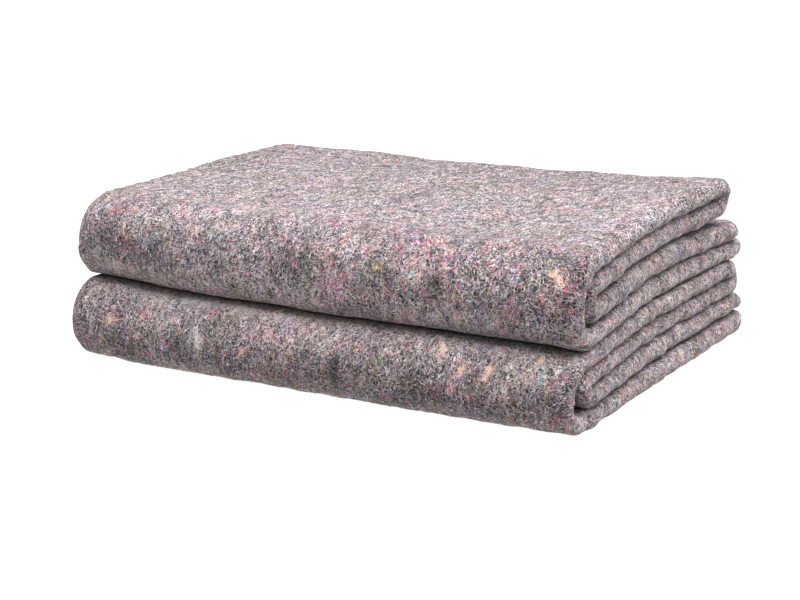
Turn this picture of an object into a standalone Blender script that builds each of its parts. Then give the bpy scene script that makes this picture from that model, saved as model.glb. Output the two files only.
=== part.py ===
"""Two moving blankets of needle-punched felt, each folded in half twice both ways, one lying on the other.

The sizes below are in millimetres and the model is in metres, +Z up. X runs along the long folded edge, the
smooth front folds face -Y, and the closed side folds of every band face +X. The origin is under the middle of
the stack, on the surface that it rests on.
"""
import bpy
import bmesh
import numpy as np
from mathutils import Vector

MM = 0.001
FELT = 3.6             # thickness of the felt
PITCH = 4.35           # from one layer to the next inside a band of four
SEAT = 0.3             # the upper blanket lies this far off the lower one
OUTER = 1.5 * PITCH    # from the middle of a band to its two outer layers
INNER = 0.5 * PITCH    # and to its two inner layers
LOW = OUTER + FELT / 2  # height of the middle of a band that lies on the surface

FLARE = 45.0           # a band goes from its own thickness to that of its tip over this length
SPREAD = 90.0          # the bands fan out towards their right tips over this length
MIDDLE = (1.725, 9.335)  # x and y of the middle of the stack in the tables below

# The lower blanket's top falls towards the front, and the upper blanket lies on it.
FRONT = (-188.0, 72.0)  # y and height of that top at the front
BACK = (194.0, 76.5)    # and at the back

# Stations along a stretch, as shares of its length, and steps round each bend.
ACROSS = (0.0, 0.30, 0.60, 0.82, 0.92, 1.0)
ALONG = 5
RISE = 1
TIP_STEPS = 6
FOLD_STEPS = 3
CORNER_STEPS = 3
SHORTEST = 1.5         # bends closer than this meet

# What wraps outside the rest runs short: the loose ends of the layers step back one behind the other.
SKIN_SHORT = 4.0       # the outermost layer stops this far inside the left fold
LINING_LONG = 3.0      # and the layer inside it passes that fold by this much
STAGGER = 0.6          # at the back, a loose end is shorter by this share of its layer's offset

# Each blanket's four bands, from the loose end at the bottom, up the front, over the top, down the back fold,
# round the inner wrap and out to the other loose end. A row is a corner of that path: y, height at the right
# tips, height inside, corner radius, how far right the tip reaches and half its thickness. Then, for the tips
# half way from here to the next corner: how far they draw in, how far they rise and how much they plump up.
# Last, how far left the corner reaches. Heights count from the underside of the blanket.
LOWER_PATH = (
    # y        edge            inside          radius reach  tip   draw rise plump left
    (210.0,    10.5,           LOW,            0.0, 252.0,   8.6,  5.0, 0.0, 0.0, -244.0),
    (FRONT[0], 8.7,            LOW,            24.0, 255.0,  6.7,  0.0, 0.0, 0.0, -244.0),
    (FRONT[0], FRONT[1] - LOW, FRONT[1] - LOW, 28.0, 255.0, OUTER, 5.0, 0.0, 0.0, -244.0),
    (BACK[0],  BACK[1] - LOW,  BACK[1] - LOW,  9.0, 253.0,  OUTER, 0.0, 0.0, 0.0, -245.0),
    (BACK[0],  50.3,           50.3,           9.0, 253.0,  OUTER, 6.0, 0.0, 0.0, -247.0),
    (-155.0,   46.4,           46.4,           9.3, 254.0,  6.8,   0.0, 0.0, 0.0, -247.0),
    (-155.0,   27.8,           27.8,           9.3, 255.0,  7.2,   5.0, 0.0, 0.5, -247.0),
    (208.0,    32.4,           29.4,           0.0, 253.0,  7.1,   0.0, 0.0, 0.0, -247.0),
)
UPPER_PATH = (
    # y        edge            inside          radius reach  tip   draw rise plump left
    (205.0,    LOW,            LOW,            0.0, 252.0,  OUTER, 7.0, 2.0, 2.0, -248.0),
    (-171.0,   LOW,            LOW,            21.0, 255.0, OUTER, 0.0, 0.0, 0.0, -248.0),
    (-171.0,   69.0,           69.0,           36.0, 255.0, OUTER, 7.0, 1.0, 0.3, -247.0),
    (169.0,    75.0,           70.2,           9.6, 252.0,  6.8,   0.0, 0.0, 0.0, -243.0),
    (169.0,    55.2,           50.4,           9.6, 250.0,  7.4,   7.0, 1.5, 1.0, -243.0),
    (-148.0,   49.5,           49.2,           10.4, 254.0, 8.0,   0.0, 0.0, 0.0, -243.0),
    (-148.0,   27.8,           28.0,           10.4, 254.0, 8.0,   7.0, 4.0, 0.8, -243.0),
    (196.0,    27.5,           29.0,           0.0, 252.0,  8.0,   0.0, 0.0, 0.0, -243.0),
)


def smooth(t):
    """0 below 0, 1 above 1, with a soft start and end between."""
    t = np.clip(t, 0.0, 1.0)
    return t * t * (3.0 - 2.0 * t)


def swell(t):
    """0 at both ends of a stretch and 1 in its middle, level at all three."""
    return 16.0 * (t * (1.0 - t)) ** 2


def swell_slope(t):
    """How steeply swell climbs."""
    return 32.0 * t * (1.0 - t) * (1.0 - 2.0 * t)


def left_of(heading):
    """Unit vector a quarter turn to the left of a heading in the y-z plane."""
    return np.array((-np.sin(heading), np.cos(heading)))


def rounded_path(corners, radii, rises):
    """Points, left normals and corner numbers along a polyline with rounded corners, each bend in equal steps.

    Two corners whose bends meet share one round fold, with no straight stretch between them.
    """
    points, normals, numbers = [], [], []
    spans = np.diff(corners, axis=0)
    lengths = np.linalg.norm(spans, axis=1)
    headings = np.arctan2(spans[:, 1], spans[:, 0])
    meet = radii[:-1] + radii[1:] > lengths - SHORTEST
    radii = radii.copy()
    for k in np.flatnonzero(meet):
        radii[k:k + 2] = lengths[k] / 2
    last = len(corners) - 1
    start = corners[0]
    for k in range(1, last + 1):
        along = spans[k - 1] / lengths[k - 1]
        turn = 0.0
        if k < last:
            turn = (headings[k] - headings[k - 1] + np.pi) % (2 * np.pi) - np.pi
        end = corners[k] - along * radii[k] * np.tan(abs(turn) / 2)
        steps = ALONG if abs(along[0]) > abs(along[1]) else RISE
        if meet[k - 1]:
            steps = 0
        for step in range(steps + (k == last)):
            t = step / steps
            climb = rises[k - 1] * swell_slope(t) / np.linalg.norm(end - start)
            points.append(start + (end - start) * t + np.array((0, rises[k - 1] * swell(t))))
            normals.append(left_of(np.arctan2(along[1] + climb, along[0])))
            numbers.append(k - 1 + t)
        if k == last:
            break
        side = np.sign(turn)
        centre = end + left_of(headings[k - 1]) * radii[k] * side
        for step in range(CORNER_STEPS):
            heading = headings[k - 1] + turn * step / CORNER_STEPS
            points.append(centre - left_of(heading) * radii[k] * side)
            normals.append(left_of(heading))
            numbers.append(k)
        start = centre - left_of(headings[k]) * radii[k] * side
    return np.array(points), np.array(normals), np.array(numbers)


def section(left, reach, tip):
    """x and offset across a band: out along one outer layer, round its tip and back, then the same inside it."""
    centre = reach - tip - FELT / 2
    runs = left + (centre - left) * np.array(ACROSS)
    spread = OUTER + (tip - OUTER) * smooth(1 - (centre - runs) / FLARE)
    x = list(runs)
    offset = list(spread)
    for step in range(1, TIP_STEPS):
        angle = np.pi * step / TIP_STEPS
        x.append(centre + tip * np.sin(angle))
        offset.append(tip * np.cos(angle))
    x += list(runs[::-1])
    offset += list(-spread[::-1])
    for step in range(1, FOLD_STEPS):
        angle = np.pi * step / FOLD_STEPS
        x.append(left - INNER * np.sin(angle))
        offset.append(-(OUTER + INNER) / 2 - INNER * np.cos(angle))
    x += list(runs)
    offset += [-INNER] * len(runs)
    for step in range(1, FOLD_STEPS):
        angle = np.pi * step / FOLD_STEPS
        x.append(centre + INNER * np.sin(angle))
        offset.append(-INNER * np.cos(angle))
    x += list(runs[::-1])
    offset += [INNER] * len(runs)
    x[0] += SKIN_SHORT
    x[-1] -= LINING_LONG
    return np.array(x), np.array(offset)


def folded(table, base, slope):
    """Grid of points of one folded blanket, in mm, indexed [along the path][across it]."""
    y, edge, inside, radius, reach, tip, draw, rise, plump, left = np.array(table).T
    edge_path, edge_normals, number = rounded_path(np.column_stack((y, edge)), radius, rise)
    inner_path, inner_normals, _ = rounded_path(np.column_stack((y, inside)), radius, rise * 0)
    rows = []
    for k, at in enumerate(number):
        corner = min(int(at), len(y) - 2)
        reach_here = np.interp(at, range(len(y)), reach) - draw[corner] * swell(at - corner)
        tip_here = np.interp(at, range(len(y)), tip) + plump[corner] * swell(at - corner)
        left_here = np.interp(at, range(len(y)), left)
        x, offset = section(left_here, reach_here, tip_here)
        fan = smooth(1 - (reach_here - x) / SPREAD)[:, None]
        normal = edge_normals[k] * fan + inner_normals[k] * (1 - fan)
        normal /= np.linalg.norm(normal, axis=1)[:, None]
        flat = edge_path[k] * fan + inner_path[k] * (1 - fan) + normal * offset[:, None]
        if k in (0, len(number) - 1):
            flat[:, 0] -= STAGGER * offset
        rows.append(np.column_stack((x, flat[:, 0], flat[:, 1] + base + slope * flat[:, 0])))
    return np.array(rows)


def blanket(name, grid, material, collection):
    """One blanket: a flat grid laid along its folds, then given the thickness of the felt."""
    rows, columns = grid.shape[:2]
    mesh = bpy.data.meshes.new(name)
    work = bmesh.new()
    bmesh.ops.create_grid(work, x_segments=columns - 1, y_segments=rows - 1, size=1)
    for vertex in work.verts:
        column = round((vertex.co.x + 1) / 2 * (columns - 1))
        row = round((vertex.co.y + 1) / 2 * (rows - 1))
        vertex.co = Vector(grid[row][column] - np.array((*MIDDLE, 0.0))) * MM
    work.to_mesh(mesh)
    work.free()
    mesh.shade_smooth()
    mesh.materials.append(material)
    thing = bpy.data.objects.new(name, mesh)
    collection.objects.link(thing)
    shell = thing.modifiers.new("felt", "SOLIDIFY")
    shell.thickness = FELT * MM
    shell.offset = 0
    return thing


def felt_material(name, colour):
    material = bpy.data.materials.new(name)
    material.use_nodes = True
    shader = material.node_tree.nodes["Principled BSDF"]
    shader.inputs["Base Color"].default_value = colour
    shader.inputs["Roughness"].default_value = 0.95
    shader.inputs["Metallic"].default_value = 0.0
    return material


def main():
    for thing in list(bpy.data.objects):
        bpy.data.objects.remove(thing)
    collection = bpy.data.collections.new("moving_blanket_stack")
    bpy.context.scene.collection.children.link(collection)
    blanket("blanket_lower", folded(LOWER_PATH, 0.0, 0.0),
            felt_material("felt_lower", (0.20, 0.185, 0.19, 1.0)), collection)
    slope = (BACK[1] - FRONT[1]) / (BACK[0] - FRONT[0])
    base = FRONT[1] - slope * FRONT[0] + SEAT
    blanket("blanket_upper", folded(UPPER_PATH, base, slope),
            felt_material("felt_upper", (0.23, 0.21, 0.215, 1.0)), collection)


main()
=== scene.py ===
"""Looks of the moving blanket stack: two folded felt blankets with their fibres, on a pale floor in soft light.

The fold tables and functions repeat the ones that the solids were made from, in millimetres, with far more
stations. Every blanket is one closed mesh of all its layers, and its loose fibres are one joined mesh that
lies on it.
"""
import math

import bpy
import numpy as np
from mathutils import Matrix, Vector
from mathutils.kdtree import KDTree


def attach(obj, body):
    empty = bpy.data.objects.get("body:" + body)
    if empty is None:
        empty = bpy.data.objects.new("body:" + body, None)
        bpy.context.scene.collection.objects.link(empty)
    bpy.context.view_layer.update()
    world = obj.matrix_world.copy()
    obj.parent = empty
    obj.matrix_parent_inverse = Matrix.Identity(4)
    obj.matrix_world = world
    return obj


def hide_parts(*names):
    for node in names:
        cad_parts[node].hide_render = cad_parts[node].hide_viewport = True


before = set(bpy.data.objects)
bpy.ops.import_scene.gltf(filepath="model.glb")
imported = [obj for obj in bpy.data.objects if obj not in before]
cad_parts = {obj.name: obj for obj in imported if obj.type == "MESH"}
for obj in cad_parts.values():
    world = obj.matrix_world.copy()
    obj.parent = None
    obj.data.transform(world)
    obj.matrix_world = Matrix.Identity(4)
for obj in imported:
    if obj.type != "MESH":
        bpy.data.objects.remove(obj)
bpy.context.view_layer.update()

MM = 0.001
FELT = 3.6             # thickness of the felt
PITCH = 4.35           # from one layer to the next inside a band of four
SEAT = 0.3             # the upper blanket lies this far off the lower one
OUTER = 1.5 * PITCH    # from the middle of a band to its two outer layers
INNER = 0.5 * PITCH    # and to its two inner layers
LOW = OUTER + FELT / 2  # height of the middle of a band that lies flat

FLARE = 45.0           # a band goes from its own thickness to that of its tip over this length
SPREAD = 90.0          # the bands fan out towards their right tips over this length
MIDDLE = (1.725, 9.335)  # x and y of the middle of the stack in the tables below

# The lower blanket's top falls towards the front, and the upper blanket lies on it.
FRONT = (-188.0, 72.0)  # y and height of that top at the front
BACK = (194.0, 76.5)    # and at the back

# What wraps outside the rest runs short: the loose ends of the layers step back one behind the other.
SKIN_SHORT = 4.0       # the outermost layer stops this far inside the left fold
LINING_LONG = 3.0      # and the layer inside it passes that fold by this much
STAGGER = 0.6          # at the back, a loose end is shorter by this share of its layer's offset

# Each blanket's four bands, from the loose end at the bottom, up the front, over the top, down the back fold,
# round the inner wrap and out to the other loose end. A row is a corner of that path: y, height at the right
# tips and inside, corner radius, how far right the tip reaches and half its thickness. Then how far the tips
# draw in, rise and plump up half way to the next corner, and how far left the corner reaches. Heights count
# from the blanket's underside.
LOWER_PATH = (
    # y, edge, inside, radius, reach, tip, draw, rise, plump, left
    (210,      10.5,           LOW,              0, 254,   8.6, 1, 0,   0, -244),
    (FRONT[0], 8.7,            LOW,             24, 255,   6.7, 0, 0,   0, -244),
    (FRONT[0], FRONT[1] - LOW, FRONT[1] - LOW,  28, 255, OUTER, 5, 0,   0, -244),
    (BACK[0],  BACK[1] - LOW,  BACK[1] - LOW,    9, 253, OUTER, 0, 0,   0, -245),
    (BACK[0],  50.3,           50.3,             9, 253, OUTER, 6, 0,   0, -247),
    (-155,     46.4,           46.4,           9.3, 254,   6.8, 0, 0,   0, -247),
    (-155,     27.8,           27.8,           9.3, 255,   7.2, 5, 0, 0.5, -247),
    (208,      32.4,           29.4,             0, 253,   7.1, 0, 0,   0, -247),
)
UPPER_PATH = (
    # y, edge, inside, radius, reach, tip, draw, rise, plump, left
    (205,  LOW,  LOW,     0, 252, OUTER, 7,   2,   2, -248),
    (-171, LOW,  LOW,    21, 255, OUTER, 0,   0,   0, -248),
    (-171, 69,   69,     36, 255, OUTER, 7,   1, 0.3, -247),
    (169,  75,   70.2,  9.6, 252,   6.8, 0,   0,   0, -243),
    (169,  55.2, 50.4,  9.6, 250,   7.4, 7, 1.5,   1, -243),
    (-148, 49.5, 49.2, 10.4, 254,     8, 0,   0,   0, -243),
    (-148, 27.8, 28,   10.4, 254,     8, 7,   4, 0.8, -243),
    (196,  27.5, 29,      0, 252,     8, 0,   0,   0, -243),
)

# Stations, as shares of the way from the left end to the tip. The outermost layer shows, so it has many; the
# layers behind it show only at their ends.
SKIN_RUN = np.concatenate((np.linspace(0, 0.9, 74, endpoint=False), np.linspace(0.9, 1, 13)))
HIDDEN_RUN = np.concatenate(((0, 0.01, 0.03), np.linspace(0.08, 0.87, 11), (0.92, 0.95, 0.98, 1)))
TIP_STEPS = 14
FOLD_STEPS = 6
ROUND_TIP = np.pi * np.arange(1, TIP_STEPS) / TIP_STEPS
ROUND_FOLD = np.pi * np.arange(1, FOLD_STEPS) / FOLD_STEPS
SKIN_END = len(SKIN_RUN)  # the column of a section where the skin ends
TIP_END = SKIN_END + TIP_STEPS - 1  # and where its round tip does
ROW_STEP = 6.05        # distance from one row of points to the next along the path
BEND_STEP = 4.6        # and round its bends
WIDE_BEND = 15.0       # round the bends wider than this, at the front, it is shorter
WIDE_BEND_STEP = 3.1
SHORTEST = 1.5         # bends closer than this meet
MOST_ROWS = 400        # no path has more rows than this
WIDEST_SHARE = 0.7     # rows are laid flat this much as on the outermost layer, and else as in the band's middle
ROUNDED_EDGE = 1.0     # the cut edge of the felt bulges this far


# ---- the folds

def smooth(t):
    """0 below 0, 1 above 1, with a soft start and end between."""
    t = np.clip(t, 0.0, 1.0)
    return t * t * (3.0 - 2.0 * t)


def ease(value, start, length):
    """0 up to a start, and 1 past this length from it."""
    return smooth((value - start) / length)


def swell(t):
    """0 at both ends of a stretch and 1 in its middle, level at all three."""
    return 16.0 * (t * (1.0 - t)) ** 2


def swell_slope(t):
    """How steeply swell climbs."""
    return 32.0 * t * (1.0 - t) * (1.0 - 2.0 * t)


def above(points, floor=0.0):
    """These points, with none under the floor."""
    return np.maximum(points, (-np.inf, -np.inf, floor))


def left_of(heading):
    """Unit vector a quarter turn to the left of a heading in the y-z plane."""
    return np.array((-np.sin(heading), np.cos(heading)))


def rounded_path(corners, radii, rises):
    """Points, left normals and corner numbers along a polyline with rounded corners, each bend in equal steps.

    Two corners whose bends meet share one round fold, with no straight stretch between them.
    """
    points, normals, numbers = [], [], []
    spans = np.diff(corners, axis=0)
    lengths = np.linalg.norm(spans, axis=1)
    headings = np.arctan2(spans[:, 1], spans[:, 0])
    bend_step = np.where(radii > WIDE_BEND, WIDE_BEND_STEP, BEND_STEP)
    bend_steps = np.maximum(4, np.round(radii * np.pi / 2 / bend_step)).astype(int)
    meet = radii[:-1] + radii[1:] > lengths - SHORTEST
    radii = radii.copy()
    for k in np.flatnonzero(meet):
        radii[k:k + 2] = lengths[k] / 2
    last = len(corners) - 1
    start = corners[0]
    for k in range(1, last + 1):
        along = spans[k - 1] / lengths[k - 1]
        turn = 0.0
        if k < last:
            turn = (headings[k] - headings[k - 1] + np.pi) % (2 * np.pi) - np.pi
        end = corners[k] - along * radii[k] * np.tan(abs(turn) / 2)
        steps = max(2, round(abs(corners[k][0] - corners[k - 1][0]) / ROW_STEP))
        if meet[k - 1]:
            steps = 0
        for step in range(steps + (k == last)):
            t = step / steps
            climb = rises[k - 1] * swell_slope(t) / np.linalg.norm(end - start)
            points.append(start + (end - start) * t + np.array((0, rises[k - 1] * swell(t))))
            normals.append(left_of(np.arctan2(along[1] + climb, along[0])))
            numbers.append(k - 1 + t)
        if k == last:
            break
        side = np.sign(turn)
        centre = end + left_of(headings[k - 1]) * radii[k] * side
        for step in range(bend_steps[k]):
            heading = headings[k - 1] + turn * step / bend_steps[k]
            points.append(centre - left_of(heading) * radii[k] * side)
            normals.append(left_of(heading))
            numbers.append(k)
        start = centre - left_of(headings[k]) * radii[k] * side
    return np.array(points), np.array(normals), np.array(numbers)


def section(left, reach, tip):
    """x and offset across a band: out along one outer layer, round its tip and back, then the same inside it."""
    centre = reach - tip - FELT / 2
    skin = left + (centre - left) * SKIN_RUN
    hidden = left + (centre - left) * HIDDEN_RUN
    spread = OUTER + (tip - OUTER) * smooth(1 - (centre - skin) / FLARE)
    behind = OUTER + (tip - OUTER) * smooth(1 - (centre - hidden) / FLARE)
    flat = np.full(len(hidden), INNER)
    x = np.concatenate((
        skin, centre + tip * np.sin(ROUND_TIP), hidden[::-1],
        left - INNER * np.sin(ROUND_FOLD), hidden,
        centre + INNER * np.sin(ROUND_FOLD), hidden[::-1]))
    offset = np.concatenate((
        spread, tip * np.cos(ROUND_TIP), -behind[::-1],
        -(OUTER + INNER) / 2 - INNER * np.cos(ROUND_FOLD), -flat,
        -INNER * np.cos(ROUND_FOLD), flat))
    x[0] += SKIN_SHORT
    x[-1] -= LINING_LONG
    return x, offset


def folded(table, base, slope, unevenness):
    """Grid of points of one folded blanket, in mm, indexed [along the path][across it], and its corner numbers."""
    y, edge, inside, radius, reach, tip, draw, rise, plump, left = np.array(table).T
    edge_path, edge_normals, number = rounded_path(np.column_stack((y, edge)), radius, rise)
    inner_path, inner_normals, _ = rounded_path(np.column_stack((y, inside)), radius, rise * 0)
    rows = []
    for k, at in enumerate(number):
        corner = min(int(at), len(y) - 2)
        reach_here = np.interp(at, range(len(y)), reach) - draw[corner] * swell(at - corner) + unevenness[k]
        tip_here = np.interp(at, range(len(y)), tip) + plump[corner] * swell(at - corner)
        left_here = np.interp(at, range(len(y)), left)
        x, offset = section(left_here, reach_here, tip_here)
        fan = smooth(1 - (reach_here - x) / SPREAD)[:, None]
        normal = edge_normals[k] * fan + inner_normals[k] * (1 - fan)
        normal /= np.linalg.norm(normal, axis=1)[:, None]
        flat = edge_path[k] * fan + inner_path[k] * (1 - fan) + normal * offset[:, None]
        if k in (0, len(number) - 1):
            flat[:, 0] -= STAGGER * offset
        rows.append(np.column_stack((x, flat[:, 0], flat[:, 1] + base + slope * flat[:, 0])))
    return np.array(rows) - np.array((*MIDDLE, 0.0)), number


# ---- how the stack settled

LEFT_LIFT = 5.0        # the left ends curl up this far at the height of the crease between the blankets
LIFT_LENGTH = 85.0     # over this length
LEFT_END = 250.0       # which ends this far left of the middle
NOTCH_FILL = (-1.5, -2.5, 0.0)  # at the front left corner the two blankets bulge this way and meet
BACK_SAG = 3.5         # the back of the stack sags this far, left of its middle
FRONT_CURL = 1.6       # the bottom bend at the front stays this far off the floor
FRONT_DIP = 2.4        # the crease between the blankets sags this far at the front, right of its left third
SETTLE = 0.9           # the layers lie this unevenly, up and down
BULGE = 0.9            # the front and back folds, in and out
WANDER = 0.9           # the right tips, in and out
CREASE_REACH = 14.0    # the painted shade between the blankets is looked for this far from their crease
RELIEF = 0.32          # the felt's thickness varies by this much on each side that shows


def waves(places, lengths, seed):
    """A smooth random field at these places, mostly from -1 to 1: waves of these lengths, in random directions."""
    chance = np.random.default_rng(seed)
    field = np.zeros(places.shape[:-1])
    for length in lengths:
        direction = chance.normal(size=places.shape[-1])
        direction *= 2 * np.pi / (length * np.linalg.norm(direction))
        field += np.cos(places @ direction + chance.uniform(0, 2 * np.pi))
    return field / np.sqrt(len(lengths))


def settled(grid):
    """The grid's points moved as the soft stack settled. All the layers move alike, so none meets another."""
    x, y, z = grid[..., 0], grid[..., 1], grid[..., 2]
    crease = FRONT[1]
    lift = LEFT_LIFT * ease(-x, LEFT_END - LIFT_LENGTH, LIFT_LENGTH)
    lift = lift * np.interp(z, (0, 20, crease, 120, 160), (0.6, 0.8, 1.0, 0.5, 0.2))
    dip = FRONT_DIP * ease(x, -110, 90) * ease(-y, 60, 80) * np.interp(z, (0, crease, 150), (0, 1, 0))
    corner = np.exp(-((z - crease) / 7) ** 2) * ease(-x, 190, 50) * ease(-y, 130, 40)
    sag = BACK_SAG * ease(-x, -110, 60) * ease(y, 20, 120) * z / 160
    curl = FRONT_CURL * ease(-y, 150, 35) * np.clip(1 - z / 45, 0, 1)
    sway = SETTLE * waves(grid[..., :2], (310, 230, 190, 150, 130), 11) * ease(z, 0, 60)
    bulge = BULGE * waves(grid[..., (0, 2)], (260, 180, 120, 90, 75), 12) * (ease(-y, 90, 70) + ease(y, 110, 70))
    shift = 0.5 * WANDER * waves(grid[..., 1:], (160, 120, 85), 13) * ease(x, 190, 45)
    moved = grid + np.stack((shift, bulge, lift + curl - sag - dip + sway), axis=-1)
    return moved + corner[..., None] * NOTCH_FILL


# Soft ridges and troughs across the felt: where each starts and ends in mm, how wide it is and how far it
# stands up (or, below zero, sinks in).
CREASES = (
    # start, end, width, height
    ((227, -183, 100),  (230, -184, 132),   2.6,  0.7),
    ((236, -183, 96),   (237, -184, 130),   2.4, -0.8),
    ((156, -182, 86),   (224, -182, 89),      3,  0.7),
    ((256, -181, 90),   (256, -180.5, 134), 1.8,  0.9),
    ((226, -199, 18),   (224, -202, 60),    2.8, -0.7),
    ((234, -198, 22),   (233, -200, 58),    2.2,  0.6),
    ((150, -150, 158),  (205, 150, 159),      9,  0.5),
    ((-150, 60, 158),   (60, 110, 158),      12, -0.6),
    ((-205, -120, 150), (-60, -60, 158),     10,  0.5),
)
# Deeper ones at the front right corners, where all of the felt goes in: the lips beside the inner wraps.
DENTS = (
    # start, end, width, height
    ((255, -177, 90), (255, -176, 134), 2.1,   -2),
    ((256, -190, 17), (256, -190, 37),  4.2, -4.6),
)


def creased(points, creases):
    """How far these creases raise each point of the felt."""
    raised = np.zeros(points.shape[:-1])
    for start, end, width, height in creases:
        start = np.array(start)
        span = np.array(end) - start
        share = ((points - start) @ span) / (span @ span)
        foot = start + np.clip(share, 0, 1)[..., None] * span
        away = np.linalg.norm(points - foot, axis=-1)
        raised += height * np.exp(-(away / width) ** 2) * smooth(1.15 - np.abs(share - 0.5) * 2.3)
    return raised


def drawn_forward(grid, number, draw):
    """Near its tips, the front of the inner wrap leans this far towards the front band above, and away below."""
    x, y, z = grid[..., 0], grid[..., 1], grid[..., 2]
    wrap = (number > 4.2) & (number < 6.3)
    lean = ease(z, 34, 12) - 0.7 * ease(-z, -36, 12)
    near = lean * ease(x, 190, 45) * ease(-y, 140, 25)
    moved = grid.copy()
    moved[..., 1] -= draw * near * wrap[:, None]
    return moved


def normals_of(grid):
    """Unit normals of a grid of points, to the side that faces out."""
    normal = np.cross(np.gradient(grid, axis=1), np.gradient(grid, axis=0))
    return normal / np.linalg.norm(normal, axis=-1)[..., None]


# Drifts in the felt, and painted light and shade: lighter on the front bends under the crease between the
# blankets and on the upper blanket's top front bend, darker along the lower blanket's bottom front bend and its
# left edge. The middle of each in mm, how far it reaches across and up, how much lighter than the rest it is (or,
# below zero, darker) and how much pinker.
DRIFTS_AND_PAINTED_LIGHT = (
    # x, y, z, wide, up, light, pink
    (-207, -180, 113,  22, 15, -0.32,   0),
    (-164, -180, 113,  11, 14, -0.20,   0),
    (-113, -180, 129,  10, 16, -0.10,   0),
    ( -54, -178, 138,  13, 14, -0.12, 0.2),
    ( -19, -180, 116,  16, 16, -0.28,   0),
    (  32, -178, 136,  30, 10,  0.12, 0.2),
    (  27, -180, 108,  14, 12, -0.05, 0.5),
    (  76, -180, 110,  16, 12, -0.17,   0),
    (  99, -180, 122,   9, 12,  0.24, 0.2),
    ( 123, -180, 110,  14, 18, -0.18,   0),
    ( 128, -178, 134,  34, 18,     0, 0.5),
    ( 207, -180, 111,  18, 14, -0.08, 0.2),
    ( 244, -180, 118,  12, 26, -0.16, 0.3),
    (  50, -180,  90,  40, 12, -0.12,   0),
    (  13,  -39, 159,  11, 14, -0.34,   0),
    (   5, -125, 159,  11, 22,     0, 0.5),
    (-225,   60, 155,  20, 60, -0.20,   0),
    ( 229,  -10, 159,  28, 34,  0.14, 0.1),
    ( -50,  130, 159, 250, 50, -0.10,   0),
    # Along the lower blanket's front: drifts, and painted shade along its bottom bend.
    (-186, -190,  21,  24, 12, -0.30,   0),
    (-150, -188,  55,  30, 10,  0.16,   0),
    (-124, -190,  26,   8, 13, -0.26,   0),
    (-110, -190,  40,   9, 12,  0.24,   0),
    ( -92, -188,  50,   8, 10, -0.20,   0),
    ( -78, -190,  18,  13, 13, -0.26,   0),
    ( -46, -188,  55,  13, 12,  0.14, 0.4),
    ( -19, -190,  17,  20, 12, -0.22,   0),
    (  10, -188,  56,  38, 12,  0.16,   0),
    (  34, -190,  37,   6,  9, -0.85,   0),
    (  83, -190,  17,  22, 10, -0.24,   0),
    ( 126, -190,  25,  24, 12, -0.24,   0),
    ( 145, -188,  58,  38, 12,  0.16,   0),
    ( 175, -190,  20,  20,  9, -0.14,   0),
    ( 190, -190,  34,  13, 14,  0.14, 0.1),
    ( 214, -188,  50,  24, 18,  0.16,   0),
    ( 244, -190,  38,   9, 18, -0.22, 0.3),
    # Painted shade on the lower blanket's left edge, and painted light just under the crease between the blankets.
    (-256, -175,  45,   5, 24, -0.45,   0),
    ( -20, -171,  69, 240,  6,  0.30,   0),
    (-150, -170,  70, 100,  5,  0.25,   0),
    (   0, -180,  90, 250, 12,  0.20,   0),
    (   0, -180, 112, 300, 20,  0.08,   0),
    (-216, -180,  99,  30, 12,  0.17,   0),
    ( 222, -178, 142,  22,  8, -0.10,   0),
    (-110, -165, 140, 110, 14,  0.12,   0),
)


def drifts_and_painted_light_at(points):
    """How much lighter, from drifts and painted light and shade, and how much pinker each point of the felt is."""
    tint_and_painted_shade = np.zeros(points.shape[:-1] + (2,))
    for x, y, z, across, up, light, pink in DRIFTS_AND_PAINTED_LIGHT:
        away = (points - (x, y, z)) / (across, up + 15.0, up)
        tint_and_painted_shade += np.exp(-np.sum(away ** 2, axis=-1))[..., None] * (light, pink)
    return tint_and_painted_shade


# ---- the cloth

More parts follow.
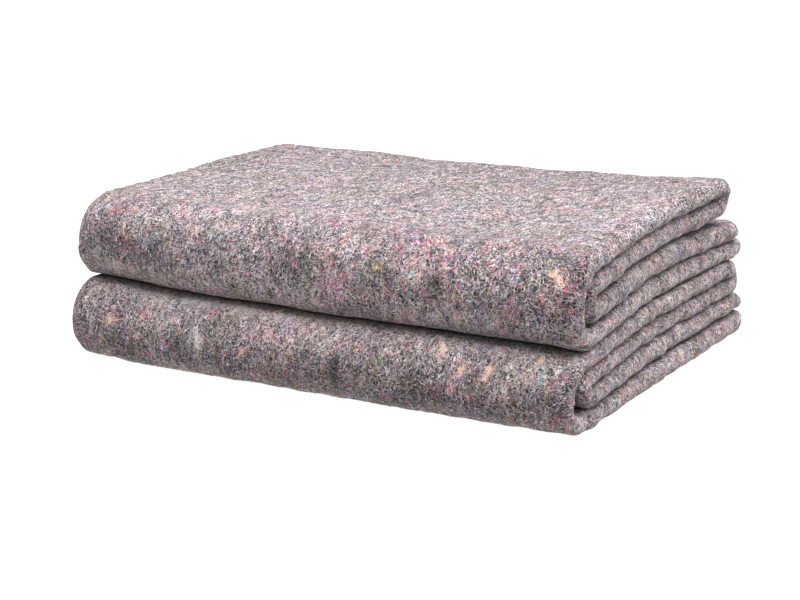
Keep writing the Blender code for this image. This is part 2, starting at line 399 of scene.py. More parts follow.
class Cloth:
    """One blanket's sheet: its two sides, and where each point lies on the flat cloth.

    u runs across the stack from the skin's left edge, and v along the path from its first corner.
    """

    def __init__(self, table, base, slope, wrap_draw, seed):
        far = np.arange(MOST_ROWS)[:, None] * ROW_STEP
        unevenness = WANDER * waves(far, (140, 95, 70, 52, 41, 33), seed)
        grid, number = folded(table, base, slope, unevenness)
        middle = settled(drawn_forward(grid, number, wrap_draw))
        middle = middle + normals_of(middle) * creased(middle, DENTS)[..., None]
        normal = normals_of(middle)
        self.seed = seed
        self.number = number
        self.middle = middle
        self.normal = normal
        self.u = self.lengths(grid[len(grid) // 2])
        steps = np.linalg.norm(np.diff(grid, axis=0), axis=2)
        band = (grid[:, SKIN_END // 2] + grid[:, TIP_END + len(HIDDEN_RUN) // 2]) / 2
        middle_steps = np.diff(self.lengths(band))
        v_steps = (1 - WIDEST_SHARE) * middle_steps + WIDEST_SHARE * steps.max(axis=1)
        self.v = np.concatenate(((0.0,), np.cumsum(v_steps)))
        self.outer = above(middle + normal * (FELT / 2 + self.relief())[..., None])
        self.inner = above(middle - normal * FELT / 2)

    @staticmethod
    def lengths(points):
        """Distance along a row of points to each of them."""
        return np.concatenate(((0.0,), np.cumsum(np.linalg.norm(np.diff(points, axis=0), axis=1))))

    def at(self, values, places):
        """The values of a grid at the stations next to these places on the flat cloth."""
        column = np.searchsorted(self.u, places[:, 0]).clip(0, len(self.u) - 1)
        row = np.searchsorted(self.v, places[:, 1]).clip(0, len(self.v) - 1)
        return values[row, column]

    def on_outside(self, u, v):
        """Points and normals of the side that faces out, at these places on the flat cloth."""
        rows, columns = self.outer.shape[:2]
        column = np.interp(u, self.u, np.arange(columns))
        row = np.interp(v, self.v, np.arange(rows))
        c = np.minimum(column.astype(int), columns - 2)
        r = np.minimum(row.astype(int), rows - 2)
        right, down = (column - c)[..., None], (row - r)[..., None]
        found = []
        for grid in (self.outer, self.normal):
            top = grid[r, c] * (1 - right) + grid[r, c + 1] * right
            bottom = grid[r + 1, c] * (1 - right) + grid[r + 1, c + 1] * right
            found.append(top * (1 - down) + bottom * down)
        return found

    def row_at(self, corner):
        """Place along the cloth of the first row at or past a corner of the path."""
        return self.v[np.searchsorted(self.number, corner)]

    def nearest(self, point):
        """Place on the flat cloth of what shows nearest to a point."""
        shown = self.outer[:, :TIP_END]
        away = np.linalg.norm(shown - np.array(point), axis=-1)
        row, column = np.unravel_index(np.argmin(away), away.shape)
        return self.u[column], self.v[row]

    def relief(self):
        """How far the side that shows stands out from the plain sheet: lumps all over, and the creases."""
        u, v = np.meshgrid(self.u, self.v)
        lumps = RELIEF * waves(np.stack((u, v), axis=-1), np.linspace(11, 42, 26), self.seed + 1)
        outside = np.zeros(len(self.u))
        outside[:SKIN_END] = 1.0
        outside[SKIN_END:TIP_END] = np.sin(ROUND_TIP)
        # The skin lies free from the front wrap to the back fold, and rests on what is under it elsewhere.
        free = ease(self.number, 0.97, 0.03) * ease(-self.number, -4.0, 0.5)
        shown = np.outer(free, outside)
        shown[:, SKIN_END:TIP_END] = outside[SKIN_END:TIP_END]
        lumps = lumps * (1 + 0.9 * ease(u - self.u[SKIN_END], -25, 15))
        return shown * (lumps + creased(self.middle, CREASES))


def shade_between(cloth, other, dark):
    """How much painted shade each point that shows gets, deep in the crease between the blankets: from 0, this far
    off, to 1.
    """
    near = other.outer[:, :TIP_END].reshape(-1, 3)
    near_normal = other.normal[:, :TIP_END].reshape(-1, 3)
    tree = KDTree(len(near))
    for k, point in enumerate(near):
        tree.insert(point, k)
    tree.balance()
    shade = np.zeros(cloth.outer.shape[:2])
    for row, column in np.argwhere(np.abs(cloth.outer[:, :TIP_END, 2] - FRONT[1]) < CREASE_REACH):
        point = cloth.outer[row, column]
        _, k, away = tree.find(point)
        if away < CREASE_REACH:
            gap = abs((point - near[k]) @ near_normal[k])
            shade[row, column] = 1 - gap / dark
    return np.clip(shade, 0, 1)


def mesh_of(name, points, faces, material):
    """A smooth mesh from points in mm."""
    mesh = bpy.data.meshes.new(name)
    mesh.from_pydata((points * MM).tolist(), [], faces.tolist())
    mesh.shade_smooth()
    mesh.materials.append(material)
    return mesh


def give(mesh, name, values):
    """Stores a colour or a vector for each point of a mesh."""
    kind, key = ("FLOAT_COLOR", "color") if values.shape[-1] == 4 else ("FLOAT_VECTOR", "vector")
    mesh.attributes.new(name, kind, "POINT").data.foreach_set(key, values.ravel())


def added(name, data):
    """A new object in the scene, of a mesh, a lamp or a camera."""
    thing = bpy.data.objects.new(name, data)
    bpy.context.scene.collection.objects.link(thing)
    return thing


def aim(thing, at, target):
    """Puts a lamp or the camera somewhere and turns it to a target."""
    thing.location = at
    thing.rotation_euler = (Vector(target) - Vector(at)).to_track_quat("-Z", "Y").to_euler()


def corners_of(grid):
    """The four corners of each square of a grid."""
    return grid[:-1, :-1], grid[:-1, 1:], grid[1:, 1:], grid[1:, :-1]


def stained(cloth, tufts):
    """Colours that the tufts give to the felt under them, and how much of it they cover."""
    u, v = np.meshgrid(cloth.u, cloth.v)
    stain = np.zeros(u.shape + (4,))
    for x, y, z, spread, angle, count, colour in tufts:
        middle_u, middle_v = cloth.nearest((x, y, z))
        cos, sin = math.cos(math.radians(angle)), math.sin(math.radians(angle))
        along = (u - middle_u) * cos + (v - middle_v) * sin
        across = (v - middle_v) * cos - (u - middle_u) * sin
        amount = np.exp(-(along / (1.5 * spread)) ** 2 - (across / (0.75 * spread)) ** 2) * min(1, count / 22)
        covers = amount > stain[..., 3]
        stain[covers, :3] = colour
        stain[covers, 3] = amount[covers]
    return stain


def blanket(which, cloth, shade, tufts, material):
    """One closed mesh of a sheet: the two sides and a rounded cut edge."""
    rows, columns = cloth.outer.shape[:2]
    count = rows * columns
    number = np.arange(count).reshape(rows, columns)
    out = np.stack(corners_of(number), axis=-1).reshape(-1, 4)
    rim = np.concatenate((number[0, :-1], number[:-1, -1], number[-1, :0:-1], number[:0:-1, 0]))
    after = np.roll(rim, -1)
    ring = 2 * count + np.arange(len(rim))
    ring_after = np.roll(ring, -1)
    upper_rim = np.stack((after, rim, ring, ring_after), axis=-1)
    lower_rim = np.stack((ring_after, ring, rim + count, after + count), axis=-1)
    faces = np.concatenate((out, out[:, ::-1] + count, upper_rim, lower_rim))
    edge = cloth.middle.reshape(-1, 3)[rim]
    heading = np.roll(edge, -1, axis=0) - np.roll(edge, 1, axis=0)
    outward = np.cross(heading, cloth.normal.reshape(-1, 3)[rim])
    outward /= np.linalg.norm(outward, axis=1)[:, None]
    ring_at = above(edge + outward * ROUNDED_EDGE)
    points = np.concatenate((cloth.outer.reshape(-1, 3), cloth.inner.reshape(-1, 3), ring_at))
    mesh = mesh_of("felt_" + which, points, faces, material)
    u, v = np.meshgrid(cloth.u, cloth.v)
    flat = np.stack((u, v), axis=-1).reshape(-1, 2)
    side = FELT / 2
    place = np.zeros((len(points), 3))
    place[:, :2] = np.concatenate((flat + side, flat - side, flat[rim]))
    if which == "upper":
        on_top = ease(cloth.number, 2.0, 0.12) * ease(-cloth.number, -3.0, 0.05)
        place[:count, 2] = np.repeat(on_top, columns)
    # Drifts and painted light and shade, and the painted shade deep in the crease between the blankets.
    tint_and_painted_shade = np.zeros((len(points), 3))
    tint_and_painted_shade[:, :2] = drifts_and_painted_light_at(points)
    tint_and_painted_shade[:count, 2] = shade.ravel()
    stain = np.zeros((len(points), 4))
    stain[:count] = stained(cloth, tufts).reshape(-1, 4)
    give(mesh, "cloth_place", place)
    give(mesh, "stain", stain)
    give(mesh, "drift_and_painted_shade", tint_and_painted_shade)
    return added("felt_" + which, mesh)


def share(distances):
    """Distances as shares of the way from the first to the last."""
    return (distances - distances[0]) / (distances[-1] - distances[0])


def squares(across, along):
    """The corners of the squares of a flat grid with these sides."""
    return corners_of(np.stack(np.meshgrid(across, along), axis=-1))


def bake_map(thing, cloth, loop_length):
    """Lays the mesh out flat for baking: what shows gets most of the room."""
    rows, columns = cloth.outer.shape[:2]
    back = int(np.searchsorted(cloth.number, 4.1))
    last_row, last_column = rows - 1, columns - 1
    near_tip = SKIN_END - 9
    past_tip = TIP_END + 5
    fold = TIP_END + len(HIDDEN_RUN) - 2
    past_fold = fold + FOLD_STEPS + 3
    islands = (
        # first row and column, last row and column, left, right
        (0, 0, back, near_tip, 0.000, 0.640),
        (0, near_tip, back, past_tip, 0.645, 0.765),
        (back, near_tip, last_row, past_tip, 0.770, 0.890),
        (0, past_tip, last_row, fold, 0.895, 0.910),
        (0, fold, last_row, past_fold, 0.915, 0.945),
        (0, past_fold, last_row, last_column, 0.950, 0.965),
        (back, 0, last_row, near_tip, 0.970, 0.985),
    )
    place = np.zeros((rows - 1, columns - 1, 4, 2))
    for first_row, first_column, end_row, end_column, left, right in islands:
        across = left + (right - left) * share(cloth.u[first_column:end_column + 1])
        corners = squares(across, share(cloth.v[first_row:end_row + 1]))
        place[first_row:end_row, first_column:end_column] = np.stack(corners, axis=2)
    # The side that faces in has one narrow strip, and each half of the rim another.
    a, b, c, d = squares(0.988 + 0.006 * share(cloth.u), share(cloth.v))
    inner = np.stack((a, d, c, b), axis=2)
    step = np.arange(loop_length + 1) / loop_length
    parts = [place, inner]
    for sides in ((0.9955, 0.9970), (0.9980, 0.9995)):
        a, b, c, d = squares(sides, step)
        parts.append(np.stack((d, a, b, c), axis=2))
    corners = np.concatenate([part.reshape(-1, 2) for part in parts])
    layer = thing.data.uv_layers.new(name="OFBake")
    layer.data.foreach_set("uv", corners.ravel())


# ---- the fibres

# Colours of the loose fibres, as red, green, blue and how often each comes.
FIBRE_COLOURS = (
    # red   green  blue   share
    (0.016, 0.014, 0.018, 0.24),
    (0.090, 0.076, 0.088, 0.14),
    (0.270, 0.220, 0.238, 0.14),
    (0.430, 0.365, 0.380, 0.18),
    (0.760, 0.705, 0.710, 0.21),
    (0.600, 0.380, 0.390, 0.040),
    (0.520, 0.100, 0.220, 0.018),
    (0.520, 0.060, 0.065, 0.008),
    (0.720, 0.480, 0.350, 0.030),
    (0.090, 0.160, 0.380, 0.009),
    (0.050, 0.250, 0.300, 0.006),
    (0.130, 0.300, 0.130, 0.004),
    (0.580, 0.480, 0.160, 0.004),
    (0.360, 0.290, 0.450, 0.012),
)
BRIGHTEST = 0.78       # no fibre is brighter than this
FIBRE_LENGTH = (2.6, 8.0)
FIBRE_WIDTH = (0.24, 0.48)
FIBRE_LIFT = 0.8       # the ends of most fibres stand this far off the felt, at most
STRAY_LIFT = 2.4       # a few stand this far off it
STRAYS = 0.035         # this share of them
FIBRES = 15500         # on each blanket


def sliver_sides():
    """The triangles of one sliver's three sides, and where their corners go in its square of the bake map."""
    pattern, spots = [], []
    for side in range(3):
        a, b = 1 + side, 1 + (side + 1) % 3
        c, d = a + 3, b + 3
        left, right = (side + 0.1) / 3, (side + 0.9) / 3
        middle = left / 2 + right / 2
        spot = {
            0: (middle, 0.05), a: (left, 0.35), b: (right, 0.35),
            7: (middle, 0.95), c: (left, 0.65), d: (right, 0.65)}
        faces = [(0, b, a), (a, b, d), (a, d, c), (7, c, d)]
        pattern += faces
        spots += [[spot[corner] for corner in face] for face in faces]
    return np.array(pattern), np.array(spots)


def fibre_mesh(name, cloth, starts, headings, lengths, widths, colours, chance, material):
    """One joined mesh of slivers that lie on the cloth: each has two pointed ends and two rings of three points."""
    count = len(starts)
    turn = chance.normal(0, 0.28, count)
    steps = np.array((-0.5, -0.18, 0.18, 0.5))
    heading = headings[:, None] + turn[:, None] * steps * 2
    u = starts[:, :1] + np.cos(heading) * lengths[:, None] * steps
    v = starts[:, 1:] + np.sin(heading) * lengths[:, None] * steps
    points, normals = cloth.on_outside(u, v)
    lift = np.zeros((count, 4))
    for end in (0, 3):
        lift[:, end] = chance.uniform(-0.2, 1.0, count) ** 3 * FIBRE_LIFT
    stray = chance.uniform(size=count) < STRAYS
    lift[stray, 3] = chance.uniform(0.3, 1.0, stray.sum()) * STRAY_LIFT
    lift[:, 1:3] = chance.uniform(0.0, 0.18, (count, 1))
    points = points + normals * lift[..., None]
    along = points[:, 3] - points[:, 0]
    along /= np.linalg.norm(along, axis=1)[:, None]
    side = np.cross(normals[:, 1], along)
    side /= np.linalg.norm(side, axis=1)[:, None]
    up = np.cross(along, side)
    half = widths[:, None] / 2
    ring = (side * half, -side * half, up * half * 0.9)
    body = [points[:, k] + r for k in (1, 2) for r in ring]
    vertices = above(np.stack((points[:, 0], *body, points[:, 3]), axis=1), 0.05)
    pattern, spots = sliver_sides()
    faces = pattern + 8 * np.arange(count)[:, None, None]
    mesh = mesh_of(name, vertices.reshape(-1, 3), faces.reshape(-1, 3), material)
    paint = np.ones((count, 8, 4))
    paint[..., :3] = colours[:, None]
    give(mesh, "fibre_colour", paint)
    # A square of the bake map to each fibre.
    across = math.ceil(math.sqrt(count))
    tile = np.stack((np.arange(count) % across, np.arange(count) // across), axis=-1)
    place = (tile[:, None, None] + spots) / across
    layer = mesh.uv_layers.new(name="OFBake")
    layer.data.foreach_set("uv", place.ravel())
    return added(name, mesh)


def strewn(cloth, top_shows, count, chance):
    """Places on the flat cloth for loose fibres, spread over what shows."""
    skin_end, tip_end, path_end = cloth.u[SKIN_END], cloth.u[TIP_END], cloth.v[-1]
    front, top, back, inner = (cloth.row_at(corner) for corner in (0.97, 2.01, 3.0, 3.6))
    spots = (
        # u from, u to, v from, v to, density
        (0.0, skin_end, front, top, 1.0),
        (0.0, skin_end, top, back, 0.4 * top_shows),
        (0.0, skin_end, back, inner, 0.8),
        (skin_end - 5, tip_end + 4, 0.0, path_end, 1.5),
    )
    u_from, u_to, v_from, v_to, density = np.array(spots).T
    shares = (u_to - u_from) * (v_to - v_from) * density
    pick = chance.choice(len(spots), size=count, p=shares / shares.sum())
    across, along = chance.uniform(size=(2, count))
    return np.stack((
        u_from[pick] + (u_to - u_from)[pick] * across,
        v_from[pick] + (v_to - v_from)[pick] * along), axis=-1)


# Tufts of one colour caught in each blanket: where in mm, how far they spread, the way they point on the cloth
# in degrees, how many fibres, and their colour.
PEACH = (0.86, 0.56, 0.42)
WHITE = (0.82, 0.80, 0.80)
PINK = (0.62, 0.10, 0.26)
RED = (0.60, 0.05, 0.06)
BLUE = (0.07, 0.18, 0.46)
TEAL = (0.05, 0.27, 0.32)
GREEN = (0.10, 0.25, 0.09)
YELLOW = (0.66, 0.52, 0.12)
BLACK = (0.025, 0.023, 0.027)
LOWER_TUFTS = (
    # x, y, z, spread, angle, count, colour
    (-203, -190,  44,   6,  20, 34, PEACH),
    ( -61, -190,  38,   5,  35, 28, PEACH),
    ( 129, -190,  59, 5.5, 110, 30, PEACH),
    ( 153, -190,  44, 4.5,  80, 24, PEACH),
    ( 182, -190,  45, 7.5,  80, 34, PEACH),
    ( 221, -190,  67,   5, 110, 26, PEACH),
    (-108, -190,  40,   9, 110, 34, WHITE),
    ( 235, -190,  53,   3,  10, 12, WHITE),
    ( 224, -190,  47, 4.5,  95, 20, TEAL),
    (  80, -190,  42,   4,  20,  9, GREEN),
    (  35, -190,  37, 4.5,  85, 40, BLACK),
    ( 248, -188,  19,   4,  95, 10, RED),
    ( 237, -190,  21,   3,  60,  6, RED),
    ( 252, -131,  50, 3.5,  20,  7, PINK),
    ( 252,  -95,  10,   5,  60,  9, RED),
    ( 252, -183,  43,   3,  70,  8, PEACH),
    ( 255,   48,  13,   5,  15, 16, PEACH),
    ( 255,   80,   5, 3.5,  60,  8, PEACH),
    ( 255,  140,  45,   7,  40, 18, PEACH),
)
UPPER_TUFTS = (
    # x, y, z, spread, angle, count, colour
    ( 227, -178, 133,   7, 150, 44, PEACH),
    ( -98, -150, 157,  11,  20, 15, WHITE),
    (-179, -180,  78, 2.5,  30, 14, PEACH),
    (  27, -180, 108,   9,  60, 15, PINK),
    ( 101, -180, 118, 4.5,  20, 16, WHITE),
    (  66, -180, 122, 4.5,  80, 12, YELLOW),
    (-215, -170, 137,   7,  20, 12, RED),
    (   5, -125, 159,   8,  20, 14, PINK),
    ( 243, -180, 122,   6, 130,  8, PINK),
    ( 214, -107, 159,   5,   5,  7, BLUE),
    ( 209,  123, 159,   5,   5, 16, BLACK),
)


def fibres(name, cloth, shade, tufts, top_shows, material):
    """The loose fibres of a blanket: some all over what shows but for its crease, and the tufts."""
    chance = np.random.default_rng(cloth.seed + 40)
    starts = strewn(cloth, top_shows, FIBRES, chance)
    starts = starts[cloth.at(shade, starts) < 0.2]
    red, green, blue, often = np.array(FIBRE_COLOURS).T
    pick = chance.choice(len(often), size=len(starts), p=often / often.sum())
    colours = np.column_stack((red, green, blue))[pick]
    # Round the tips the fibres run across, and elsewhere mostly up and down the path.
    lengthwise = np.pi / 2 * (starts[:, 0] < cloth.u[SKIN_END] - 12)
    headings = lengthwise + 0.25 + chance.normal(0, 1.15, len(starts))
    for x, y, z, spread, angle, count, colour in tufts:
        centre = np.array(cloth.nearest((x, y, z)))
        heading = math.radians(angle)
        along, across = chance.normal(0, spread, (2, count)) * ((0.75,), (0.35,))
        spots = np.column_stack((
            along * math.cos(heading) - across * math.sin(heading),
            along * math.sin(heading) + across * math.cos(heading)))
        starts = np.concatenate((starts, centre + spots))
        headings = np.concatenate((headings, heading + chance.normal(0, 0.35, count)))
        colours = np.concatenate((colours, np.tile(colour, (count, 1))))
    count = len(starts)
    colours = colours * chance.uniform(0.78, 1.25, (count, 1))
    colours /= np.maximum(1.0, colours.max(axis=1, keepdims=True) / BRIGHTEST)
    lengths = chance.uniform(*FIBRE_LENGTH, count)
    widths = chance.uniform(*FIBRE_WIDTH, count)
    return fibre_mesh(name, cloth, starts, headings, lengths, widths, colours, chance, material)


# ---- the materials

class Paint:
    """Short calls for making the nodes of a material."""

    def __init__(self, name):
        self.material = bpy.data.materials.new(name)
        self.material.use_nodes = True
        self.tree = self.material.node_tree
        self.shader = self.tree.nodes["Principled BSDF"]

    def set(self, socket, value):
        """Joins a socket to an input, or gives the input a fixed value."""
        if isinstance(value, bpy.types.NodeSocket):
            self.tree.links.new(value, socket)
        else:
            socket.default_value = value

    def node(self, kind, inputs, **settings):
        """A new node with these settings and inputs."""
        made = self.tree.nodes.new("ShaderNode" + kind)
        for key, value in settings.items():
            setattr(made, key, value)
        for key, value in inputs.items():
            self.set(made.inputs[key], value)
        return made

    def maths(self, operation, a, b=0.0, c=0.0):
        """One sum of numbers."""
        return self.node("Math", {0: a, 1: b, 2: c}, operation=operation).outputs[0]

    def times(self, a, b):
        """The product of two numbers."""
        return self.maths("MULTIPLY", a, b)

    def plus(self, a, b):
        """The sum of two numbers."""
        return self.maths("ADD", a, b)

    def minus(self, a, b):
        """The difference of two numbers."""
        return self.maths("SUBTRACT", a, b)

    def shift(self, operation, a, b):
        """One sum of vectors."""
        return self.node("VectorMath", {0: a, 1: b}, operation=operation).outputs[0]

    def parts(self, vector):
        """The three numbers of a vector."""
        return self.node("SeparateXYZ", {0: vector}).outputs

    def stored(self, name):
        """What the mesh stores under a name."""
        return self.node("Attribute", {}, attribute_name=name).outputs

    def grey(self, value):
        """A grey of this brightness."""
        return self.node("CombineColor", {0: value, 1: value, 2: value}).outputs[0]

    def step(self, value, low, high, to_low=0.0, to_high=1.0):
        """A value eased from one range to another."""
        inputs = {"Value": value, "From Min": low, "From Max": high, "To Min": to_low, "To Max": to_high}
        return self.node("MapRange", inputs, interpolation_type="SMOOTHSTEP").outputs[0]

    def mix(self, amount, a, b, blend="MIX"):
        """Two colours mixed."""
        made = self.node("Mix", {0: amount, 6: a, 7: b}, data_type="RGBA", blend_type=blend)
        return made.outputs[2]

    def ramp(self, value, stops, steps=False):
        """A colour picked by a value from stops of (position, red, green, blue)."""
        made = self.node("ValToRGB", {0: value})
        bar = made.color_ramp
        bar.interpolation = "CONSTANT" if steps else "LINEAR"
        while len(bar.elements) < len(stops):
            bar.elements.new(0.5)
        for element, (position, *colour) in zip(bar.elements, stops):
            element.position = position
            element.color = (*colour, 1.0)
        return made.outputs[0]

    def noise(self, place, size, detail=2.0, rough=0.5):
        """A random value and a random colour, with features of this size in mm."""
        inputs = {"Vector": place, "Scale": 1 / size, "Detail": detail, "Roughness": rough}
        return self.node("TexNoise", inputs, noise_dimensions="2D").outputs

    def finish(self, inputs):
        """Sets the shader's inputs, and gives back the material."""
        for key, value in inputs.items():
            self.set(self.shader.inputs[key], value)
        return self.material

    def bump(self, height, strength, distance):
        """The normal that this height gives."""
        return self.node("Bump", {"Height": height, "Strength": strength, "Distance": distance}).outputs[0]

    def strokes(self, place, angle, length, width, at):
        """Short strokes all over, one to a cell: how near a stroke's middle is, and a random colour for each."""
        inputs = {"Vector": place, "Location": (at, -at, 0), "Rotation": (0, 0, math.radians(angle)),
                  "Scale": (length, width, 1)}
        turned = self.node("Mapping", inputs, vector_type="TEXTURE").outputs[0]
        cell = self.node("TexVoronoi", {"Vector": turned, "Scale": 1.0}, voronoi_dimensions="2D")
        pick = self.node("SeparateColor", {0: cell.outputs["Color"]})
        return cell.outputs["Distance"], pick.outputs


# The dark and the pale grey of each blanket's ground.
LOWER_TONE = ((0.13, 0.108, 0.120), (0.36, 0.305, 0.32))
UPPER_TONE = ((0.135, 0.112, 0.125), (0.38, 0.32, 0.335))
# Strokes of the felt's grey fibres, one set over the other.
GREY_STROKES = (
    # angle, length, width, cover
    ( 60, 4.8, 0.60, 0.58),
    (  8, 4.2, 0.58, 0.54),
    (130, 4.8, 0.56, 0.52),
    ( 34, 6.4, 0.56, 0.48),
    (168, 4.2, 0.54, 0.46),
)
# Painted shade in the pits between the fibres: the higher the last number, the fewer there are.
PAINTED_PIT_SHADOWS = (
    # angle, length, width, rare
    ( 40,   2, 1.2, 0.36),
    (110, 2.3, 1.1, 0.45),
    ( 84, 3.6, 2.3, 0.55),
    ( 62,   5,   3, 1.04),
)
# Greys of the strokes, from dark to light.
GREYS = (
    # at   red    green  blue
    (0.00, 0.018, 0.016, 0.020),
    (0.22, 0.070, 0.060, 0.069),
    (0.48, 0.190, 0.157, 0.171),
    (0.70, 0.345, 0.292, 0.305),
    (0.95, 0.610, 0.560, 0.566),
)
# Casts of the strokes' greys.
CASTS = (
    # at   red   green blue
    (0.00, 1.08, 0.84, 0.92),
    (0.22, 1.10, 1.00, 0.84),
    (0.44, 0.88, 0.98, 1.10),
    (0.66, 1.00, 1.00, 1.00),
    (0.84, 0.96, 1.04, 0.93),
)
# Strokes of the coloured fibres.
COLOUR_STROKES = (
    # angle, length, width
    ( 75, 6.5, 0.9),
    (125,   5,   1),
    ( 20,   6, 0.8),
)
# Their colours: where in a ramp each starts.
COLOUR_STOPS = (
    # at   red   green blue
    (0.00, 0.46, 0.16, 0.25),
    (0.16, 0.58, 0.06, 0.22),
    (0.34, 0.62, 0.36, 0.40),
    (0.50, 0.56, 0.06, 0.07),
    (0.60, 0.72, 0.46, 0.34),
    (0.74, 0.12, 0.20, 0.42),
    (0.80, 0.07, 0.28, 0.32),
    (0.85, 0.16, 0.30, 0.15),
    (0.89, 0.58, 0.50, 0.24),
    (0.93, 0.36, 0.28, 0.48),
)
TOP_PAINTED_LIGHT = (0.63, 0.542, 0.562, 1.0)      # painted light: what the top leans to
PALEST = (0.57, 0.517, 0.53, 1.0)     # and what the greys stay under
# Painted shade in the pits between the fibres.
PIT_SHADE = (0.012, 0.010, 0.014, 1.0)
UNLIT = (0.006, 0.005, 0.004, 1.0)    # painted shade deep between the blankets
TIPS_FROM = 485.0      # the skin reaches the round tips this far across the flat cloth


def felt(name, tone, warmth, seed):
    """Pressed felt of grey fibres from waste cloth, with specks of every colour."""
    p = Paint(name)
    flat = p.stored("cloth_place")["Vector"]
    across, _, on_top = p.parts(flat)
    light, pink, crease = p.parts(p.stored("drift_and_painted_shade")["Vector"])
    flat = p.shift("ADD", flat, (seed * 91.0, seed * 57.0, 0.0))
    bend = p.shift("SUBTRACT", p.noise(flat, 7.0, 1.0)[1], (0.5, 0.5, 0.5))
    place = p.shift("ADD", flat, p.shift("MULTIPLY", bend, (3.5, 3.5, 0.0)))
    # Lumps of fibre, large and small, longer along the path than across it.
    drawn = p.shift("MULTIPLY", flat, (1.0, 0.55, 1.0))
    broad = p.noise(drawn, 28.0, 2.0)[0]
    patch = p.noise(drawn, 7.0, 3.0, 0.6)[0]
    grain = p.noise(place, 0.9, 1.0, 0.5)[0]
    dark, pale = tone
    colour = p.ramp(grain, ((0.34, 0.03, 0.026, 0.032), (0.46, *dark), (0.58, *pale), (0.70, 0.60, 0.55, 0.555)))
    height = p.times(grain, 0.9)
    lean = p.times(p.minus(patch, 0.5), 0.45)
    # Drifts and painted light and shade lean the greys too.
    lean = p.plus(lean, p.times(light, 0.85))
    # Painted light: the greys on the top are picked paler.
    lean = p.plus(lean, p.times(on_top, 0.24))
    for k, (angle, length, width, cover) in enumerate(GREY_STROKES):
        away, pick = p.strokes(place, angle, length, width, 13.0 * k + 7.0)
        on = p.step(away, cover, cover - 0.16)
        grey = p.mix(1.0, p.ramp(p.plus(pick[0], lean), GREYS), p.ramp(pick[2], CASTS, steps=True), "MULTIPLY")
        colour = p.mix(p.times(on, 0.92), colour, grey)
        height = p.maths("MAXIMUM", height, p.times(on, p.plus(pick[1], 0.15)))
    # Painted light: the top is painted paler and more even, where the light from above falls on it.
    colour = p.mix(p.times(on_top, 0.45), colour, TOP_PAINTED_LIGHT)
    # Small pits between the fibres, sunk in the bump, with painted shade in them, in clusters on the top.
    sparse = p.minus(0.88, p.times(patch, 0.7))
    for k, (angle, length, width, rare) in enumerate(PAINTED_PIT_SHADOWS):
        away, pick = p.strokes(place, angle, length, width, 31.0 * k + 500.0)
        often = p.plus(p.minus(pick[0], lean), p.times(on_top, sparse))
        deep = p.times(p.step(away, 0.46, 0.28), p.step(often, rare, rare + 0.18))
        colour = p.mix(p.times(deep, 0.92), colour, PIT_SHADE)
        height = p.minus(height, p.times(deep, 0.6))
    # Coloured fibres come in clusters, mostly pink.
    cluster = p.minus(p.noise(flat, 16.0, 2.0, 0.6)[0], 0.5)
    cluster = p.plus(p.times(cluster, 0.9), p.times(pink, 0.35))
    for k, (angle, length, width) in enumerate(COLOUR_STROKES):
        away, pick = p.strokes(place, angle, length, width, 41.0 * k + 300.0)
        on = p.times(p.step(away, 0.46, 0.28), p.step(p.plus(pick[1], cluster), 0.925, 0.98))
        colour = p.mix(p.times(on, 0.7), colour, p.ramp(pick[0], COLOUR_STOPS, steps=True))
        height = p.maths("MAXIMUM", height, on)
    # Patches lean towards peach or blue, and towards green or pink.
    warm = p.step(p.noise(drawn, 26.0, 4.0, 0.75)[0], 0.34 + warmth, 0.66 + warmth)
    colour = p.mix(1.0, colour, p.mix(warm, (1.065, 1.0, 0.90, 1.0), (0.955, 1.0, 1.085, 1.0)), "MULTIPLY")
    green = p.step(p.noise(p.shift("ADD", drawn, (300.0, 0.0, 0.0)), 40.0, 3.0, 0.7)[0], 0.34, 0.66)
    colour = p.mix(1.0, colour, p.mix(green, (0.965, 1.025, 0.975, 1.0), (1.035, 0.975, 1.01, 1.0)), "MULTIPLY")
    rosy = p.times(p.step(cluster, 0.05, 0.45), 0.6)
    colour = p.mix(rosy, colour, (1.16, 0.86, 0.97, 1.0), "MULTIPLY")
    # The tufts' colours, ragged at their edges.
    stain = p.stored("stain")
    ragged = p.plus(stain["Alpha"], p.times(p.minus(patch, 0.5), 1.5))
    covered = p.times(p.step(ragged, 0.55, 0.95), p.step(grain, 0.35, 0.6, 0.1, 0.75))
    colour = p.mix(covered, colour, stain["Color"])
    # Lighter and darker lumps, drifts and painted light and shade. The finest grain is strongest round the tips,
    # where the fibres bend.
    weigh = p.times(p.step(patch, 0.28, 0.72, 0.90, 1.22), p.step(broad, 0.3, 0.7, 0.84, 1.16))
    weigh = p.times(weigh, p.step(light, -0.6, 0.6, 0.70, 1.30))
    fine = p.step(p.noise(flat, 0.75, 0.0)[0], 0.32, 0.68, -1.0, 1.0)
    strength = p.step(across, TIPS_FROM - 12.0, TIPS_FROM, 0.33, 0.48)
    weigh = p.times(weigh, p.maths("MULTIPLY_ADD", fine, strength, 1.0))
    colour = p.mix(1.0, colour, p.grey(weigh), "MULTIPLY")
    # No grey fibre is quite white.
    limit = p.times(p.maths("MULTIPLY_ADD", on_top, 0.28, 0.62), p.minus(1.0, covered))
    colour = p.mix(limit, colour, PALEST, "DARKEN")
    # Painted shade deep in the crease between the blankets.
    colour = p.mix(p.step(crease, 0.3, 0.75, 0.0, 0.96), colour, UNLIT)
    lumps = p.times(p.noise(flat, 5.0, 3.0, 0.6)[0], 1.2)
    return p.finish({
        "Base Color": colour,
        "Roughness": p.step(height, 0.0, 1.0, 0.98, 0.82),
        "Specular IOR Level": 0.25,
        "Sheen Weight": 0.35,
        "Sheen Roughness": 0.45,
        "Sheen Tint": (1.0, 0.93, 0.955, 1.0),
        "Normal": p.bump(p.plus(height, lumps), 1.0, 0.0005),
    })


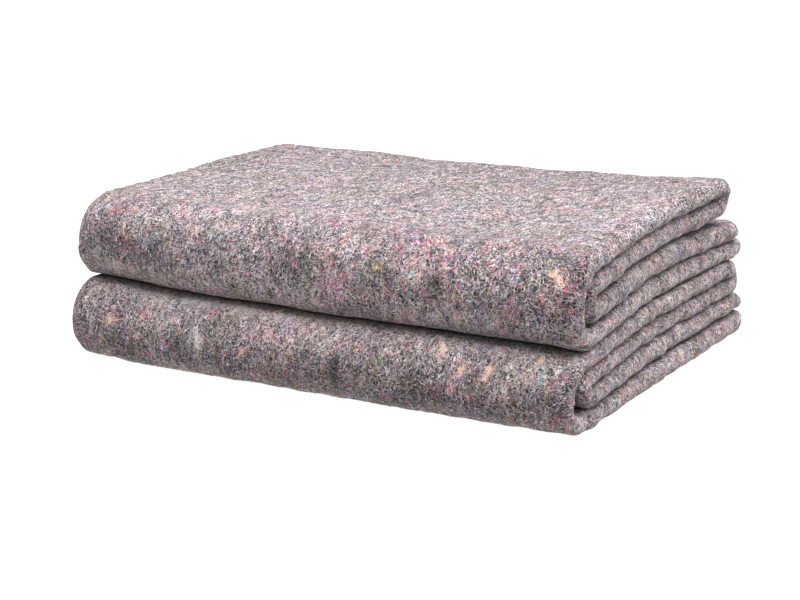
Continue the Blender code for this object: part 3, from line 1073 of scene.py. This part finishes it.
def fibre_material():
    """Loose fibres, each of its own colour."""
    p = Paint("loose_fibres")
    place = p.node("TexCoord", {}).outputs["Object"]
    uneven = p.node("TexNoise", {"Vector": place, "Scale": 900.0, "Detail": 2.0}).outputs[0]
    shade = p.grey(p.step(uneven, 0.3, 0.7, 0.75, 1.2))
    return p.finish({
        "Base Color": p.mix(1.0, p.stored("fibre_colour")["Color"], shade, "MULTIPLY"),
        "Roughness": p.step(uneven, 0.3, 0.7, 0.7, 0.9),
        "Sheen Weight": 0.3,
        "Normal": p.bump(uneven, 0.3, 0.0001),
    })


def floor_material():
    """Smooth white studio floor."""
    p = Paint("studio_floor")
    place = p.node("TexCoord", {}).outputs["Object"]
    cloud = p.node("TexNoise", {"Vector": place, "Scale": 3.0, "Detail": 3.0}).outputs[0]
    return p.finish({
        "Base Color": p.ramp(cloud, ((0.3, 0.07, 0.07, 0.07), (0.7, 0.09, 0.09, 0.09))),
        "Emission Color": (1.0, 1.0, 1.0, 1.0),
        "Emission Strength": FLOOR_GLOW,
        "Roughness": p.step(cloud, 0.3, 0.7, 0.75, 0.85),
        "Specular IOR Level": 0.2,
    })


# ---- the scene

SKY = 0.26             # strength of the light from all round
SUN = 8.3              # and of the soft one overhead
SUN_WIDTH = 60.0       # in degrees, as its tilt is
SUN_TILT = (-3.0, 11.0, 0.0)
SOFTBOX = 35.0         # in watts
SOFTBOX_SIZE = (3.0, 2.0)
SOFTBOX_AT = (3.2, -0.6, 2.2)
FLOOR = 30.0           # half its width, in m
FLOOR_GLOW = 0.98      # it is a white light table
CAMERA = (0.8835, -1.6040, 0.5124)
AIM = (-0.0064, -0.0181, 0.0490)  # the camera looks here


def build():
    """Makes the blankets and their fibres."""
    slope = (BACK[1] - FRONT[1]) / (BACK[0] - FRONT[0])
    rise = FRONT[1] - slope * FRONT[0] + SEAT
    loose = fibre_material()
    cloths = (
        Cloth(LOWER_PATH, base=0.0, slope=0.0, wrap_draw=5.8, seed=3),
        Cloth(UPPER_PATH, base=rise, slope=slope, wrap_draw=0.0, seed=8),
    )
    blankets = (
        # name, dark, top shows, warmth, tufts, tone
        ("lower", 2.2, 0.0, 0.018, LOWER_TUFTS, LOWER_TONE),
        ("upper", 4.6, 1.0, 0.0, UPPER_TUFTS, UPPER_TONE),
    )
    for row, cloth, other in zip(blankets, cloths, cloths[::-1]):
        which, dark, top_shows, warmth, tufts, tone = row
        shade = shade_between(cloth, other, dark)
        piece = blanket(which, cloth, shade, tufts, felt("pressed_felt_" + which, tone, warmth, cloth.seed))
        rows, columns = cloth.outer.shape[:2]
        bake_map(piece, cloth, 2 * (rows + columns) - 4)
        fuzz = fibres("fibres_" + which, cloth, shade, tufts, top_shows, loose)
        for thing in (piece, fuzz):
            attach(thing, "root")
        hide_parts("blanket_" + which)


def studio():
    """A pale floor, soft light from above and all round, and the camera."""
    mesh = bpy.data.meshes.new("floor")
    corners = [(-FLOOR, -FLOOR, 0), (FLOOR, -FLOOR, 0), (FLOOR, FLOOR, 0), (-FLOOR, FLOOR, 0)]
    mesh.from_pydata(corners, [], [(0, 1, 2, 3)])
    mesh.materials.append(floor_material())
    floor = added("floor", mesh)
    scene = bpy.context.scene
    world = bpy.data.worlds.new("studio")
    world.use_nodes = True
    sky = world.node_tree.nodes["Background"].inputs
    sky["Color"].default_value = (1.0, 1.0, 1.0, 1.0)
    sky["Strength"].default_value = SKY
    scene.world = world
    lamp = bpy.data.lights.new("overhead", "SUN")
    lamp.energy = SUN
    lamp.angle = math.radians(SUN_WIDTH)
    added("overhead", lamp).rotation_euler = [math.radians(tilt) for tilt in SUN_TILT]
    box = bpy.data.lights.new("softbox", "AREA")
    box.energy = SOFTBOX
    box.shape = "RECTANGLE"
    box.size, box.size_y = SOFTBOX_SIZE
    aim(added("softbox", box), SOFTBOX_AT, (0.0, 0.0, 0.0))
    lens = bpy.data.cameras.new("camera")
    lens.lens = 90.0
    lens.sensor_width = 36.0
    lens.clip_end = 200.0
    scene.camera = added("camera", lens)
    aim(scene.camera, CAMERA, AIM)
    scene.view_settings.view_transform = "Standard"
    scene.cycles.use_denoising = True


build()
studio()
